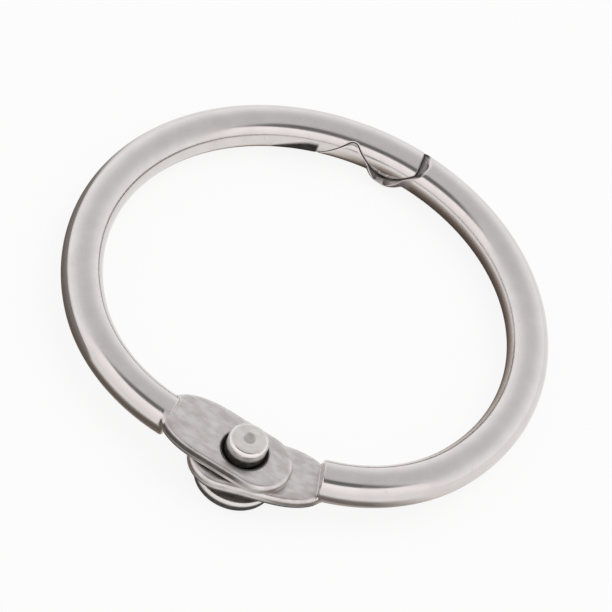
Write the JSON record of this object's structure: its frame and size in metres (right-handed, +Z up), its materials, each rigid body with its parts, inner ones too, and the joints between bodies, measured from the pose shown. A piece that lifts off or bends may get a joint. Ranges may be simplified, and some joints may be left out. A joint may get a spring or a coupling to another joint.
{
  "type": "binder ring",
  "caption": "Hinged snap ring that holds punched sheets: two half rings of round wire riveted at flattened ends, with hooked ends that lock together.",
  "frame": {"origin": "centre of the closed ring, in the middle plane of its wire", "axes": "+Z up out of the ring as it lies at rest, leaning 1.7 degrees from the ring's own axis; -Y towards the hinge, +Y towards the hooked closure; the rivet's broad head is below"},
  "size_m": [0.03, 0.0304, 0.0042],
  "materials": {
    "nickel_wire": "bright nickel plate on drawn steel wire, satin on the pressed flats",
    "nickel_rivet": "bright nickel plate on a turned steel rivet"
  },
  "bodies": {
    "right_ring": {"right_half": "nickel_wire"},
    "rivet": {"hinge_rivet": "nickel_rivet"},
    "left_ring": {"left_half": "nickel_wire"}
  },
  "joints": [
    {"name": "ring_swing", "type": "hinge", "parent": "right_ring", "child": "rivet", "pos_m": [0, -0.01292, 0.00038], "axis": [0, 0.0297, 0.9996], "range_deg": [0, 170]},
    {"name": "side_spring", "type": "hinge", "parent": "rivet", "child": "left_ring", "pos_m": [0, -0.0129, 0.00092], "axis": [1, 0, 0], "range_deg": [0, 4], "stiffness_Nm_per_rad": 2.5}
  ]
}
